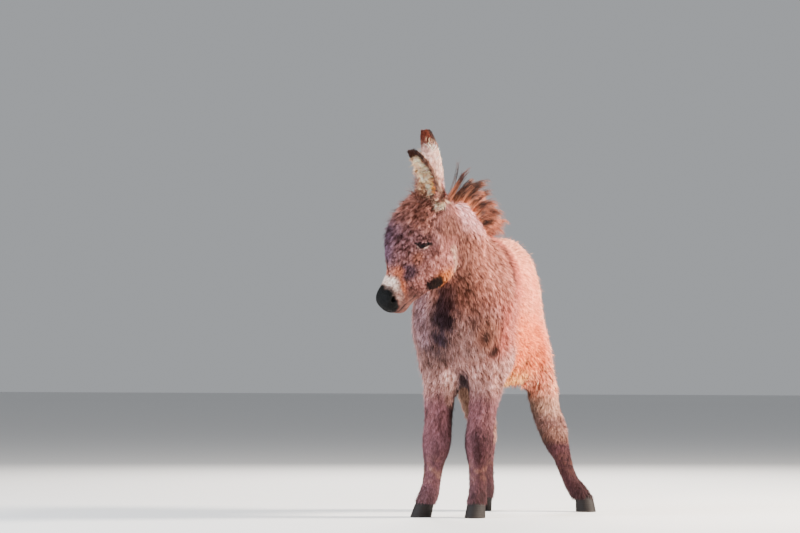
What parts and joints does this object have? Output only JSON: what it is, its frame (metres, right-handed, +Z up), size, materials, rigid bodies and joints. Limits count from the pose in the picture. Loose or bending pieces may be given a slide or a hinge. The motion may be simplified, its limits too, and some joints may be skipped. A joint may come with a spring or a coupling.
{
  "type": "donkey foal",
  "caption": "Woolly grey-brown donkey foal standing with its head turned to one side, a pale ring round its dark nose, long upright ears, a short stiff mane and a hind leg spread.",
  "frame": {"origin": "on the floor, under the middle of the bounding box", "axes": "+Z up; the body faces -Y with its head turned towards -X, and +X is the foal's own left"},
  "size_m": [0.4138, 1.003, 1.1162],
  "materials": {
    "coat": "thick soft grey-brown fur",
    "flank": "paler warm fur",
    "face": "woolly brown fur",
    "muzzle": "dark skin with very short fur",
    "ear": "cream fur with dark tips",
    "eye": "wet and dark",
    "hoof": "dull horn",
    "mane": "upright wiry hair",
    "leg": "short darker fur"
  },
  "bodies": {
    "root": {"forearm_left": "leg", "knee_left": "leg", "fore_cannon_left": "leg", "fore_pastern_left": "leg", "fore_hoof_left": "hoof", "forearm_right": "leg", "knee_right": "leg", "fore_cannon_right": "leg", "fore_pastern_right": "leg", "fore_hoof_right": "hoof", "gaskin_left": "leg", "hock_left": "leg", "hind_cannon_left": "leg", "hind_pastern_left": "leg", "hind_hoof_left": "hoof", "gaskin_right": "leg", "hock_right": "leg", "hind_cannon_right": "leg", "hind_pastern_right": "leg", "hind_hoof_right": "hoof", "thigh_left": "coat", "thigh_right": "coat", "shoulder_left": "coat", "shoulder_right": "coat", "breast": "coat", "barrel": "flank", "neck": "coat", "eye_left": "eye", "eye_right": "eye", "ear_left": "ear", "ear_right": "ear", "head": "face", "muzzle": "muzzle", "chin": "muzzle", "tail": "coat", "tail_tuft": "mane", "rump": "flank", "mane": "mane"}
  },
  "joints": []
}
